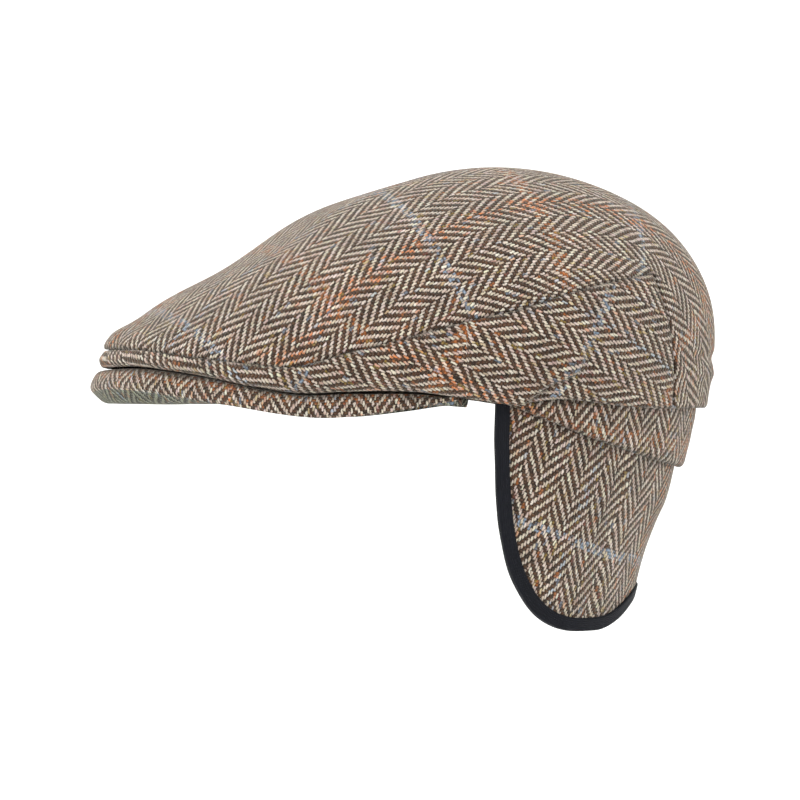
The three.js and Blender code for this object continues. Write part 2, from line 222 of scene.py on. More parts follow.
def read(table, along, column, place):
    # smooth curve through one column of a table
    x = np.array(table[along], float)
    y = np.array(table[column], float)
    if x[-1] < x[0]:
        x, y = x[::-1], y[::-1]
    slope = np.empty_like(y)
    slope[1:-1] = (y[2:] - y[:-2]) / (x[2:] - x[:-2])
    slope[0] = (y[1] - y[0]) / (x[1] - x[0])
    slope[-1] = (y[-1] - y[-2]) / (x[-1] - x[-2])
    row = np.clip(np.searchsorted(x, place) - 1, 0, len(x) - 2)
    span = x[row + 1] - x[row]
    t = clamp((place - x[row]) / span)
    turn = t * t * (3 - 2 * t)
    leave = slope[row] * span
    arrive = slope[row + 1] * span
    return y[row] + (y[row + 1] - y[row]) * turn + leave * t * (1 - t) ** 2 - arrive * t * t * (1 - t)


def outline(angle, oval):
    across = np.sin(np.radians(angle))
    along = np.cos(np.radians(angle))
    power = np.where(along > 0, 2 / oval["squareness"], 1.0)
    reach = np.where(along > 0, -oval["front"], oval["back"])
    return (
        np.sign(across) * oval["halfWidth"] * np.abs(across) ** power,
        reach * np.abs(along) ** power,
    )


def crownSurface(angle, level):
    # Level 0 is the apex, 1 the fullest line and 2 the lower edge.
    angle, level = np.broadcast_arrays(np.asarray(angle, float), np.asarray(level, float))
    fullX, fullY = outline(angle, crownFull)
    edgeX, edgeY = outline(angle, crownEdge)
    fullZ = read(crownHeights, "y", "full", fullY)
    edgeZ = read(crownHeights, "y", "edge", fullY)
    side = np.abs(angle)
    turn = clamp(level) * math.pi / 2
    spread = read(domeRoundness, "angle", "spread", side)
    crest = read(domeRoundness, "angle", "crest", side)
    reach = np.sin(turn) ** (2 / spread)
    rise = np.maximum(np.cos(turn), 0) ** (2 / crest)
    offReach = (reach - slopeHollow["reach"]) / slopeHollow["reachSpread"]
    offAngle = side / slopeHollow["angleSpread"]
    hollow = slopeHollow["depth"] * np.exp(-(offReach**2 + offAngle**2) / 2)
    domeY = apex["y"] + (fullY - apex["y"]) * reach
    domeZ = fullZ + (apex["z"] - fullZ) * rise - hollow
    dome = np.stack([fullX * reach, domeY, domeZ], -1)
    down = clamp(level - 1)
    skirtX = fullX + (edgeX - fullX) * down**2
    skirtY = fullY + (edgeY - fullY) * down**2
    skirt = np.stack([skirtX, skirtY, fullZ + (edgeZ - fullZ) * down], -1)
    return np.where((level > 1)[..., None], skirt, dome)


def clamp(share):
    return np.clip(share, 0, 1)


def hump(place, at, spread):
    return np.exp(-(((place - at) / spread) ** 2))


def unit(vectors):
    return vectors / np.maximum(np.linalg.norm(vectors, axis=-1, keepdims=True), 1e-9)


def crownNormal(angle, level):
    step = 0.01
    low = np.minimum(level + step, 2)
    high = np.maximum(level - step, 0.002)
    along = crownSurface(angle, low) - crownSurface(angle, high)
    around = crownSurface(angle + 1, level) - crownSurface(angle - 1, level)
    normal = unit(np.cross(along, around))
    normal[np.broadcast_to(level, normal.shape[:-1]) < 0.01] = (0, 0, 1)
    return normal


def creaseLift(points):
    # the cloth steps inward behind the crease at the ear
    z = np.clip(points[..., 2], creasePath["z"][0], creasePath["z"][-1])
    behind = points[..., 1] - read(creasePath, "z", "y", z)
    fade = np.exp(-np.abs(behind) / crease["spread"])
    height = clamp(1 - points[..., 2] / crease["fadeAbove"])
    return -crease["step"] * np.tanh(behind / crease["width"]) * fade * height


def seamLevel(angle):
    _, y = outline(angle, crownFull)
    full = read(crownHeights, "y", "full", y)
    seam = read(crownHeights, "y", "seam", y)
    crest = read(domeRoundness, "angle", "crest", np.abs(angle))
    return np.arccos(((seam - full) / (apex["z"] - full)) ** (crest / 2)) / (math.pi / 2)


def runAlong(points, axis=0):
    # length from the first point to each one
    steps = np.linalg.norm(np.diff(points, axis=axis), axis=-1)
    return np.insert(np.cumsum(steps, axis=axis), 0, 0, axis=axis)


def evenLevels(angles, shares):
    # levels from the seam to the lower edge at shares of the cloth's length; a row per angle
    fine = np.linspace(0, 1, 81)
    top = seamLevel(angles)
    levels = top[:, None] + (2 - top[:, None]) * fine
    lengths = runAlong(crownSurface(angles[:, None], levels), 1)
    return np.array([np.interp(shares * run[-1], run, line) for run, line in zip(lengths, levels)])


def paced(count, edges=(True, True)):
    # 0 to 1 in even steps, with closer ones in the first and last step for a rolled edge
    near = [0.05, 0.16, 0.34, 0.6]
    places = list(np.linspace(0, 1, count + 1))
    if edges[0]:
        places += [share / count for share in near]
    if edges[1]:
        places += [1 - share / count for share in near]
    return np.array(sorted(places))


def edgeDistance(points, sides):
    # distance along the cloth to the nearest of the given sides
    found = []
    for axis, names in ((0, ("first", "last")), (1, ("left", "right"))):
        run = runAlong(points, axis)
        whole = run[-1:, :] if axis == 0 else run[:, -1:]
        if names[0] in sides:
            found.append(run)
        if names[1] in sides:
            found.append(whole - run)
    return np.minimum.reduce(found)


def softWaves(points, length, seed, count=7):
    # a smooth uneven swell of about the given wave length, from -1 to 1
    chance = np.random.default_rng(seed)
    total = np.zeros(points.shape[:-1])
    for _ in range(count):
        heading = unit(chance.normal(size=3))
        stretch = chance.uniform(0.7, 1.4)
        phase = chance.uniform(0, 2 * math.pi)
        total += np.sin(points @ heading * (2 * math.pi / (length * stretch)) + phase)
    return total / count**0.5 / 1.5


def gridQuads(index):
    # the corners of each cell in a grid of point numbers
    return np.stack([index[:-1, :-1], index[:-1, 1:], index[1:, 1:], index[1:, :-1]], -1)


def tubeFaces(rows, columns):
    # faces of a tube whose last column doubles its first, its two end faces, and the welded numbers
    index = np.arange(rows * (columns + 1)).reshape(rows, columns + 1)
    same = index.copy()
    same[:, -1] = index[:, 0]
    ends = [index[0, :-1].tolist(), index[-1, -2::-1].tolist()]
    return gridQuads(index)[..., [0, 3, 2, 1]], ends, same.ravel()


def flatBySpot(points, coarse, flat, quads):
    # finds each point on the coarse cloth, for a grid whose lines turn sharply at its diagonals
    corners, spread = coarse.reshape(-1, 3), flat.reshape(-1, 2)
    triangles = np.concatenate([quads[:, [0, 1, 2]], quads[:, [0, 2, 3]]])
    tree = BVHTree.FromPolygons(corners.tolist(), triangles.tolist())
    nearest = [tree.find_nearest(point) for point in points.reshape(-1, 3).tolist()]
    spots = np.array([tuple(found[0]) for found in nearest])
    owner = triangles[[found[2] for found in nearest]]
    first, second, third = (corners[owner[:, corner]] for corner in range(3))
    one, two, out = second - first, third - first, spots - first

    def dot(a, b):
        return (a * b).sum(1)

    size = dot(one, one) * dot(two, two) - dot(one, two) ** 2
    toSecond = (dot(two, two) * dot(out, one) - dot(one, two) * dot(out, two)) / size
    toThird = (dot(one, one) * dot(out, two) - dot(one, two) * dot(out, one)) / size
    shares = np.stack([1 - toSecond - toThird, toSecond, toThird], 1)
    return (shares[:, :, None] * spread[owner]).sum(1).reshape(points.shape[:2] + (2,))


def flatCloth(points, rowPlaces, columnPlaces, most=48, bySpot=False):
    # lays a grid of cloth flat, in millimetres, on a coarser grid that is then read back
    rows, columns = points.shape[:2]
    keptRows = np.unique(np.linspace(0, rows - 1, min(rows, most)).round().astype(int))
    keptColumns = np.unique(np.linspace(0, columns - 1, min(columns, most)).round().astype(int))
    coarse = points[np.ix_(keptRows, keptColumns)]
    high, wide = coarse.shape[:2]
    index = np.arange(high * wide).reshape(high, wide)
    quads = gridQuads(index).reshape(-1, 4)
    mesh = bpy.data.meshes.new("layout")
    mesh.from_pydata((coarse.reshape(-1, 3) * mm).tolist(), [], quads.tolist())
    mesh.uv_layers.new(name="flat")
    holder = addObject("layout", mesh)
    bpy.context.view_layer.objects.active = holder
    holder.select_set(True)
    bpy.ops.object.mode_set(mode="EDIT")
    bpy.ops.mesh.select_all(action="SELECT")
    bpy.ops.uv.unwrap(method="MINIMUM_STRETCH", margin=0)
    bpy.ops.object.mode_set(mode="OBJECT")
    spread = np.empty(len(mesh.loops) * 2)
    mesh.uv_layers["flat"].data.foreach_get("uv", spread)
    corners = np.empty(len(mesh.loops), int)
    mesh.loops.foreach_get("vertex_index", corners)
    flat = np.zeros((high * wide, 2))
    flat[corners] = spread.reshape(-1, 2)
    bpy.data.objects.remove(holder)
    bpy.data.meshes.remove(mesh)
    flat = flat.reshape(high, wide, 2)

    def threads(grid):
        return sum(np.linalg.norm(np.diff(grid, axis=axis), axis=2).sum() for axis in (0, 1))

    flat *= threads(coarse) / threads(flat)
    if bySpot:
        return flatBySpot(points, coarse, flat, quads)
    full = np.empty((rows, columns, 2))
    half = np.empty((rows, wide, 2))
    for part in range(2):
        for column in range(wide):
            half[:, column, part] = np.interp(rowPlaces, rowPlaces[keptRows], flat[:, column, part])
        for row in range(rows):
            full[row, :, part] = np.interp(columnPlaces, columnPlaces[keptColumns], half[row, :, part])
    return full


def turned(cloth, turn):
    c, s = math.cos(turn), math.sin(turn)
    return cloth @ np.array([[c, s], [-s, c]])


def turnCloth(flat, start, end, heading):
    # turns the flat cloth so that start to end points along heading degrees, and start is at zero
    line = flat[end] - flat[start]
    flat = turned(flat, math.radians(heading) - math.atan2(line[1], line[0]))
    return flat - flat[start]


def meshPiece(name, points, faces, cloth, materials, slots=None, shadeDistance=None, same=None):
    # cloth holds the flat place of each point, and the shade map how far it is, in mm, from the nearest
    # seam, crease or overhanging edge, for the painted shade there; same gives the point that each one
    # is welded to, where the cloth's map has a seam and the mesh none
    faces = [list(face) for face in faces]
    corners = np.concatenate(faces)
    same = np.arange(len(points)) if same is None else same
    kept = np.unique(same)
    joined = [np.searchsorted(kept, same[face]).tolist() for face in faces]
    mesh = bpy.data.meshes.new(name)
    mesh.from_pydata((np.asarray(points)[kept] * mm).tolist(), [], joined)
    maps = {"cloth": np.asarray(cloth, float)}
    if shadeDistance is not None:
        maps["shadeDistance"] = np.stack([shadeDistance, np.zeros(len(shadeDistance))], -1)
    for layer, places in maps.items():
        mesh.uv_layers.new(name=layer).data.foreach_set("uv", places[corners].ravel())
    for material in materials:
        mesh.materials.append(material)
    if slots is not None:
        mesh.polygons.foreach_set("material_index", np.asarray(slots, np.int32))
    mesh.shade_smooth()
    mesh.validate()
    made = addObject(name, mesh)
    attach(made, "root")
    return made


def clothPiece(name, face, normal, thick, roll, cloth, material, shaded=None):
    # a wall of cloth whose sides roll over from the outer face to the inner one
    away = edgeDistance(face, allSides)
    # painted shade: the distance to the nearest side, or to the given shading edge where that is nearer
    shadeDistance = away if shaded is None else np.minimum(away, shaded)
    share = clamp(1 - away / roll)
    inset = (thick / 2) * (1 - np.sqrt(np.clip(1 - share**2, bluntEdge, 1)))
    outer = face - normal * inset[..., None]
    inner = face - normal * (thick - inset)[..., None]
    rows, columns = face.shape[:2]
    count = rows * columns
    index = np.arange(count).reshape(rows, columns)
    front = gridQuads(index).reshape(-1, 4)
    rim = np.concatenate([index[0, :-1], index[:-1, -1], index[-1, :0:-1], index[:0:-1, 0]])
    after = np.roll(rim, -1)
    edge = np.stack([rim, rim + count, after + count, after], -1)
    faces = np.concatenate([front, front[:, ::-1] + count, edge])
    a, b, c, d = (outer.reshape(-1, 3)[front[:, i]] for i in range(4))
    facing = (np.cross(c - a, d - b) * normal.reshape(-1, 3)[front[:, 0]]).sum()
    if facing < 0:
        faces = faces[:, ::-1]
    points = np.concatenate([outer.reshape(-1, 3), inner.reshape(-1, 3)])
    flat = np.concatenate([cloth.reshape(-1, 2)] * 2)
    shadeDistance = np.concatenate([shadeDistance.ravel(), np.zeros(count)])
    return meshPiece(name, points, faces, flat, [material], shadeDistance=shadeDistance)


def declareSheet(node):
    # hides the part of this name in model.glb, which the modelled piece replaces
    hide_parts(node)


# Herringbone wool tweed, woven two over two and brushed: cream warp and dark-brown weft show as
# pointed diagonal lines in columns, matt, with a pale bloom of loose wool at glancing angles.
tweedPlan = {
    "endPitch": 0.96,  # mm between warp yarns
    "pickPitch": 1.36,  # mm between weft yarns; four make one diagonal line
    "columnEnds": 9.0,  # warp yarns in a column
    "warp": ("#cdbfb1", "#998879"),
    "weft": ("#553522", "#1c100a"),
    "loose": "#a08e7c",
    "rust": "#bb6a30",
    "blue": "#869aae",
    "mustard": "#a3893f",
    "wine": "#80413c",
    "repeat": 4.0,  # yarns in one repeat of the twill
    "sway": ((0.035, 1.6), (0.7, 0.85), (2.0, 0.55)),  # noise scale, and mm that the yarns stray
    "fullness": {"warp": 0.7, "weft": 0.8},  # 1 is a plain round yarn, less is fuller
    "weftSunk": 0.6,
    "pane": 96,  # mm between overcheck lines of one colour
    # yarns in each overcheck line, and how much of its colour shows
    "lines": {"rustWarp": (8.5, 0.9), "blueWarp": (2.5, 0.7), "blueWeft": (2.5, 0.9), "rustWeft": (4.5, 0.6)},
    "flecks": ((0.0, "rust"), (0.02, "blue"), (0.032, "mustard"), (0.056, "wine")),
    "fleckShare": 0.07,  # of all floats
    "fleckTone": 0.45,
    "depth": 0.8,  # mm from a yarn's top to the hollow beside it
    "heather": 0.09,  # how far the dyed wool varies
    "bloom": 0.3,
    "hair": 1.9,  # noise scale of the loose wool
    "seamShade": 0.45,  # what is left of the light in a seam
    "seamReach": 2.1,  # mm over which it comes back
}


def makeTweed(name, warp=None, weft=None, shade=1.0, lines=(0.0, 0.0)):
    plan = tweedPlan
    shades = {"warp": warp or plan["warp"], "weft": weft or plan["weft"]}
    endPitch, pickPitch = plan["endPitch"], plan["pickPitch"]
    made, tree = startMaterial(name)
    cloth = put(tree, "UVMap", uv_map="cloth")

    # the cloth never lies quite straight, and each yarn is uneven
    place = cloth
    for scale, reach in plan["sway"]:
        sway = put(tree, "TexNoise", [cloth, None, scale, 1.0], noise_dimensions="2D")
        sway = put(tree, "VectorMath.SUBTRACT", [sway.node.outputs["Color"], (0.5,) * 3])
        sway = put(tree, "VectorMath.SCALE", {0: sway, "Scale": reach})
        place = put(tree, "VectorMath.ADD", [place, sway])
    split = put(tree, "SeparateXYZ", [place]).node
    end = put(tree, "Math.MULTIPLY", [split.outputs[0], 1 / endPitch])
    pick = put(tree, "Math.MULTIPLY", [split.outputs[1], 1 / pickPitch])
    endNumber, pickNumber = (put(tree, "Math.FLOOR", [yarn]) for yarn in (end, pick))

    # the twill turns back at each column, where lines meet gaps
    folded = put(tree, "Math.PINGPONG", [end, plan["columnEnds"]])
    column = put(tree, "Math.DIVIDE", [end, plan["columnEnds"]])
    column = put(tree, "Math.FLOOR", [column])
    slide = put(tree, "Math.MULTIPLY_ADD", [column, 2.0, folded])
    order = put(tree, "Math.FLOOR", [slide])
    onPick = put(tree, "Math.ADD", [order, pickNumber])
    onPick = put(tree, "Math.FLOORED_MODULO", [onPick, plan["repeat"]])
    warpUp = put(tree, "Math.LESS_THAN", [onPick, 1.5])  # over two, then under two

    # each yarn is round across, and dives at the two ends of its float
    def arch(place, stretch):
        turn = put(tree, "Math.MULTIPLY", [place, math.pi * stretch])
        return put(tree, "Math.SINE", [turn])

    def floatHeight(across, along, start, fullness):
        along = put(tree, "Math.ADD", [along, start])
        along = put(tree, "Math.FLOORED_MODULO", [along, plan["repeat"]])
        high = put(tree, "Math.MULTIPLY", [arch(across, 1.0), arch(along, 0.5)])
        high = put(tree, "Math.MAXIMUM", [high, 0.0])
        return put(tree, "Math.POWER", [high, fullness])

    acrossEnd, acrossPick = (put(tree, "Math.FRACT", [yarn]) for yarn in (end, pick))
    alongEnd = put(tree, "Math.ADD", [order, pick])
    alongPick = put(tree, "Math.ADD", [slide, pickNumber])
    warpHigh = floatHeight(acrossEnd, alongEnd, 0.0, plan["fullness"]["warp"])
    weftHigh = floatHeight(acrossPick, alongPick, plan["repeat"] / 2, plan["fullness"]["weft"])
    weftHigh = put(tree, "Math.MULTIPLY", [weftHigh, plan["weftSunk"]])
    height = put(tree, "Mix", [warpUp, None, weftHigh, warpHigh], data_type="FLOAT")

    # heathered yarn: slow changes along each one, of tone and a little of hue
    colours = {}
    for way, number, along, seed in (("warp", endNumber, pick, 3.3), ("weft", pickNumber, end, 9.7)):
        slow = put(tree, "Math.MULTIPLY", [along, 0.22])
        key = put(tree, "CombineXYZ", [number, slow, seed])
        noise = put(tree, "TexNoise", [key, None, 0.9, 2.0]).node
        tone = put(tree, "MapRange", [noise.outputs[0], 0.34, 0.66])
        paler, darker = (linear(dye) for dye in shades[way])
        plain = put(tree, "Mix", {0: tone, 6: paler, 7: darker}, data_type="RGBA")
        span = (0.3, 0.7, 1 - plan["heather"], 1 + plan["heather"])
        hue = {"Vector": noise.outputs["Color"]} | {7 + i: (value,) * 3 for i, value in enumerate(span)}
        tint = put(tree, "MapRange", hue, data_type="FLOAT_VECTOR")
        colours[way] = put(tree, "VectorMath.MULTIPLY", [plain, tint])

    # overcheck, broken by the weave: a rust stripe and a light-blue one between, both ways
    paneEnds = round(plan["pane"] / endPitch)
    panePicks = round(plan["pane"] / pickPitch)
    firstEnd, firstPick = lines[0] / endPitch, lines[1] / pickPitch
    stripes = (
        ("warp", endNumber, paneEnds, firstEnd, "rust"),
        ("warp", endNumber, paneEnds, firstEnd + paneEnds / 2, "blue"),
        ("weft", pickNumber, panePicks, firstPick, "blue"),
        ("weft", pickNumber, panePicks, firstPick + panePicks / 2, "rust"),
    )
    slowPick = put(tree, "Math.MULTIPLY", [pick, 0.35])
    for way, number, pane, first, colour in stripes:
        yarns, most = plan["lines"][colour + way.title()]
        shifted = put(tree, "Math.SUBTRACT", [number, float(round(first))])
        inPane = put(tree, "Math.FLOORED_MODULO", [shifted, float(pane)])
        line = put(tree, "Math.LESS_THAN", [inPane, yarns])
        key = put(tree, "CombineXYZ", [endNumber, slowPick, yarns])
        broken = put(tree, "TexNoise", [key, None, 1.3, 1.0])
        broken = put(tree, "MapRange", [broken, 0.47, 0.6, 0.0, most])
        line = put(tree, "Math.MULTIPLY", [line, broken])
        mixed = {0: line, 6: colours[way], 7: linear(plan[colour])}
        colours[way] = put(tree, "Mix", mixed, data_type="RGBA")

    # a few floats in a hundred carry a fleck of another colour
    floatNumber = put(tree, "Math.MULTIPLY", [pick, 0.5])
    floatNumber = put(tree, "Math.FLOOR", [floatNumber])
    key = put(tree, "CombineXYZ", [endNumber, floatNumber, 0.0])
    chance = put(tree, "TexWhiteNoise", [key], noise_dimensions="2D")
    ramp = put(tree, "ValToRGB", [chance]).node
    ramp.color_ramp.interpolation = "CONSTANT"
    for position, colour in plan["flecks"]:
        ramp.color_ramp.elements.new(position).color = linear(plan[colour])
    ramp.color_ramp.elements.remove(ramp.color_ramp.elements[0])
    fleck = put(tree, "Math.LESS_THAN", [chance, plan["fleckShare"]])
    fleck = put(tree, "Math.MULTIPLY", [fleck, plan["fleckTone"]])
    for way in colours:
        mixed = {0: fleck, 6: colours[way], 7: ramp.outputs[0]}
        colours[way] = put(tree, "Mix", mixed, data_type="RGBA")

    # the warp floats are rounded, so they sink into the weft at their edges
    shown = put(tree, "MapRange", [warpHigh, 0.0, 0.45])
    shown = put(tree, "Math.MULTIPLY", [shown, warpUp])
    colour = put(tree, "Mix", {0: shown, 6: colours["weft"], 7: colours["warp"]}, data_type="RGBA")
    # loose brushed wool softens the pattern
    hair = put(tree, "TexNoise", [cloth, None, plan["hair"], 3.0, 0.7], noise_dimensions="2D")
    bloom = put(tree, "MapRange", [hair, 0.45, 0.72, 0.0, plan["bloom"]])
    colour = put(tree, "Mix", {0: bloom, 6: colour, 7: linear(plan["loose"])}, data_type="RGBA")

    # hollows between yarns, seams and the cloth under an edge get less light
    depth = put(tree, "MapRange", [height, 0.0, 0.7, 0.3, 1.08])
    grain = put(tree, "MapRange", [hair, 0.3, 0.7, 0.82, 1.16])
    patches = put(tree, "TexNoise", [cloth, None, 0.06, 4.0], noise_dimensions="2D")
    # shade scales the whole piece's colour: painted light above 1, painted shade below 1
    patches = put(tree, "MapRange", [patches, 0.3, 0.7, 0.86 * shade, 1.12 * shade])
    # painted shade in seams, along the fold and under overhanging edges, read from the distance map
    seam = put(tree, "SeparateXYZ", [put(tree, "UVMap", uv_map="shadeDistance")])
    span = [seam, 0.0, plan["seamReach"], plan["seamShade"], 1.0]
    seam = put(tree, "MapRange", span, interpolation_type="SMOOTHSTEP")
    for other in (grain, patches, seam):
        depth = put(tree, "Math.MULTIPLY", [depth, other])
    colour = put(tree, "VectorMath.SCALE", {0: colour, "Scale": depth})

    relief = put(tree, "Math.MULTIPLY_ADD", [hair, 0.5, height])
    bump = put(tree, "Bump", {"Strength": 1.0, "Distance": plan["depth"] * mm, "Height": relief})
    wool = {
        "Base Color": colour,
        "Roughness": 0.95,
        "IOR": 1.53,
        "Specular IOR Level": 0.12,
        "Sheen Weight": 0.3,
        "Sheen Roughness": 0.4,
        "Sheen Tint": linear("#d9dcd2"),
        "Normal": bump,
    }
    put(tree, "OutputMaterial", {"Surface": put(tree, "BsdfPrincipled", wool)})
    return made


# Crown: a top panel between two side panels

crownPlan = {
    "roll": 2.6,
    "pucker": {"height": 0.6, "wave": 13, "reach": 6, "rise": 1.5},
    "swell": {"height": 0.45, "wave": 55, "rise": 14},
    # the lower edge hangs over the band at the back
    "hang": {"level": 1.55, "drop": 3, "from": 92, "over": 50},
}
topPlan = {
    "halfAcross": 66, "along": 160,  # steps
    "tail": 44, "tailShare": 0.28,  # rows from the upper end of the rear seams to the rim
    "grain": -22,  # degrees from the centre line to the columns
    "seed": 11,
    # it swells over the strip in front, and folds once across the back
    "frontSwell": {"height": 3.6, "at": 6, "spread": 9, "until": 55},
    "backFold": {
        "z": 18.5, "spread": 2.4, "depth": 1.1, "swellZ": 11.5, "swell": 0.8, "from": 138, "over": 18,
    },
}
sidePlan = {
    "frontSteps": 56, "flankSteps": 170, "down": 40, "flatSteps": 60,
    "grain": 36,
    "grainFrom": (85, 118),  # the stretch of the panel that the grain is measured on
    "seeds": {1: 23, -1: 31},
    # its front end is a puffed strip over the peak
    "strip": {"puff": 1.2, "until": 78, "fullFrom": 30, "atFront": 0.15},
    "foldShade": {"behind": 0.5, "above": 2.5},
}


def crownFace(angle, level):
    hang = crownPlan["hang"]
    face = crownSurface(angle, level)
    normal = crownNormal(angle, level)
    face = face + normal * creaseLift(face)[..., None]
    low = clamp((level - hang["level"]) / (2 - hang["level"]))
    behind = clamp((np.abs(angle) - hang["from"]) / hang["over"])
    face[..., 2] -= hang["drop"] * low**2 * behind
    return face, normal


def puckered(face, normal, sides, seed):
    # slack that a seam draws up beside it, and a slow swell over the whole panel
    pucker, swell = crownPlan["pucker"], crownPlan["swell"]
    away = edgeDistance(face, sides)
    lift = pucker["height"] * softWaves(face, pucker["wave"], seed)
    lift = lift * np.exp(-away / pucker["reach"]) * (1 - np.exp(-away / pucker["rise"]))
    lift += swell["height"] * softWaves(face, swell["wave"], seed + 1) * (1 - np.exp(-away / swell["rise"]))
    return face + normal * lift[..., None]


def perDegree(angles, levels):
    # mm along the crown for a degree of angle
    return np.linalg.norm(crownSurface(angles + 0.5, levels) - crownSurface(angles - 0.5, levels), axis=-1)


def seamInset(angles, levels):
    # half the seam's lap as a step back in level
    step = 0.01
    run = crownSurface(angles, levels + step) - crownSurface(angles, levels - step)
    return -seamLap / 2 * 2 * step / np.linalg.norm(run, axis=-1)


def makeCrownTop():
    # the dome is a grid of squares about the apex, whose edge runs round the seam and ends at the
    # upper corners of the rear seams; the tail goes on from there to the rim
    plan = topPlan
    right = paced(plan["halfAcross"], (False, True))
    across = np.concatenate([-right[:0:-1], right])
    front = paced(plan["along"], (True, False))
    along = 2 * front - 1
    a, b = np.meshgrid(across, along)
    ring = np.maximum(np.abs(a), np.abs(b))
    safe = np.maximum(ring, 1e-9)
    flank = np.abs(a) > np.abs(b)
    sideAngle = np.sign(a) * (frontCorner + (seamCorner["top"] - frontCorner) * (b / safe + 1) / 2)
    frontAngle = a / safe * frontCorner
    backAngle = np.where(a < 0, -1, 1) * (180 - np.abs(a / safe) * (180 - seamCorner["top"]))
    angle = np.where(flank, sideAngle, np.where(b < 0, frontAngle, backAngle))
    edge = seamLevel(angle)
    inset = seamInset(angle, edge)
    atBack = (b >= 1 - 1e-9) & (np.abs(a) < 1 - 1e-9)
    level = np.where(atBack, edge, edge - inset) * ring

    shares = paced(plan["tail"], (False, True))[1:]
    part = np.abs(across)
    side = np.where(across < 0, -1, 1)
    starts = 180 - part * (180 - seamCorner["top"])
    tailLevel = evenLevels(starts, shares).T
    lean = (seamCorner["rim"] - seamCorner["top"]) * shares[:, None]
    tailAngle = starts + part * lean
    lap = seamLap / 2 / perDegree(tailAngle[:, -1], tailLevel[:, -1])
    tailAngle = tailAngle + (part == 1) * -lap[:, None]
    angle = np.concatenate([angle, side * tailAngle])
    level = np.concatenate([level, tailLevel])

    face, normal = crownFace(angle, level)
    rowPlaces = np.concatenate([front, 1 + shares * plan["tailShare"]])
    flat = flatCloth(face, rowPlaces, across, bySpot=True)
    middle = len(across) // 2
    flat = turnCloth(flat, (0, middle), (len(front) // 2, middle), 90 + plan["grain"])
    face = puckered(face, normal, allSides, plan["seed"])
    away = edgeDistance(face, allSides)
    swell, fold = plan["frontSwell"], plan["backFold"]
    lift = swell["height"] * hump(away, swell["at"], swell["spread"])
    lift = lift * clamp(1 - np.abs(angle) / swell["until"])
    z = face[..., 2]
    folded = fold["swell"] * hump(z, fold["swellZ"], fold["spread"])
    folded -= fold["depth"] * hump(z, fold["z"], fold["spread"])
    lift += folded * clamp((np.abs(angle) - fold["from"]) / fold["over"])
    face = face + normal * lift[..., None]
    top = clothPiece("crownTop", face, normal, walls["crown"], crownPlan["roll"], flat, tweedFor("top"))
    declareSheet("crown_top")


def makeCrownSide(name, node, side, tweed):
    plan = sidePlan
    front = paced(plan["frontSteps"], (True, False)) * frontCorner
    flank = paced(plan["flankSteps"], (False, True))[1:] * (seamCorner["top"] - frontCorner)
    tops = np.concatenate([front, frontCorner + flank])
    shares = paced(plan["down"])
    level = evenLevels(tops, shares)
    level[:, 0] += seamInset(tops, level[:, 0])
    lean = (seamCorner["rim"] - seamCorner["top"]) * shares
    angle = tops[:, None] + (tops[:, None] / seamCorner["top"]) ** 6 * lean
    lap = seamLap / 2 / perDegree(angle, level)
    angle[0] -= lap[0]
    angle[-1] += lap[-1]
    face, normal = crownFace(side * angle, level)
    flat = flatCloth(face, tops, shares, most=plan["flatSteps"])
    start, end = (int(np.searchsorted(tops, place)) for place in plan["grainFrom"])
    middle = len(shares) // 2
    flat = turnCloth(flat, (start, middle), (end, middle), 90 + side * plan["grain"])

    face = puckered(face, normal, ("left", "last"), plan["seeds"][side])
    strip = plan["strip"]
    bow = np.sqrt(4 * shares * (1 - shares))
    fade = clamp(1 - tops / strip["until"]) ** 0.5
    fade = fade * clamp(strip["atFront"] + tops / strip["fullFrom"])
    puff = strip["puff"] * bow * fade[:, None]
    face = face + normal * puff[..., None]
    # the fold shades the cloth behind it
    z = face[..., 2]
    behind = face[..., 1] - read(creasePath, "z", "y", np.clip(z, creasePath["z"][0], creasePath["z"][-1]))
    shade = plan["foldShade"]
    shaded = shade["behind"] * np.abs(behind - 1) + shade["above"] * clamp(z / crease["fadeAbove"])
    panel = clothPiece(name, face, normal, walls["crown"], crownPlan["roll"], flat, tweed, shaded)
    declareSheet(node)


# Peak: a stiff crescent covered in the same cloth

peakPlan = {
    "steps": 200, "hornAngle": 89.4, "undersideZ": -1.3, "smooth": 3,
    # mm in from the lip's reach, and the most of the board that the shelf takes up
    "groove": 2.2, "brow": 2.8, "browDrop": 0.3, "tuck": 1.3, "shelf": 5, "shelfShare": 0.4,
    # shares of the lip's thickness
    "nose": 0.85, "chin": 0.3, "heel": 0.6,
    "facingFrom": 50,  # the point of the rounded section where the underside's facing begins
    "crease": 5.5,  # mm from the nose up to the crease under the strip
    "noCrease": 9.0,
    "swell": {"height": 0.25, "wave": 40, "seed": 5},
}
lipReach = {
    "angle": [0, 30, 60, 74, 81, 85, 90],
    "reach": [6, 5.6, 4.4, 3.4, 0.6, -2.2, -3.6],
    "foreheadZ": [8, 8, 8, 5, 3, 2, 1.5],
}
lipHeights = {
    "y": [-160, -146, -125, -100, -82, -64, -52, -31, -15, 0],
    "low": [3.2, 4.4, 2.3, -2, -5.2, -7.6, -7.8, -5.4, -2.6, 0],
    "thick": [5, 5, 5, 5.6, 6.2, 6, 5.4, 4.8, 3.6, 2.6],
}


def lifted(points, z):
    # the same points at another height
    moved = points.copy()
    moved[..., 2] = z
    return moved


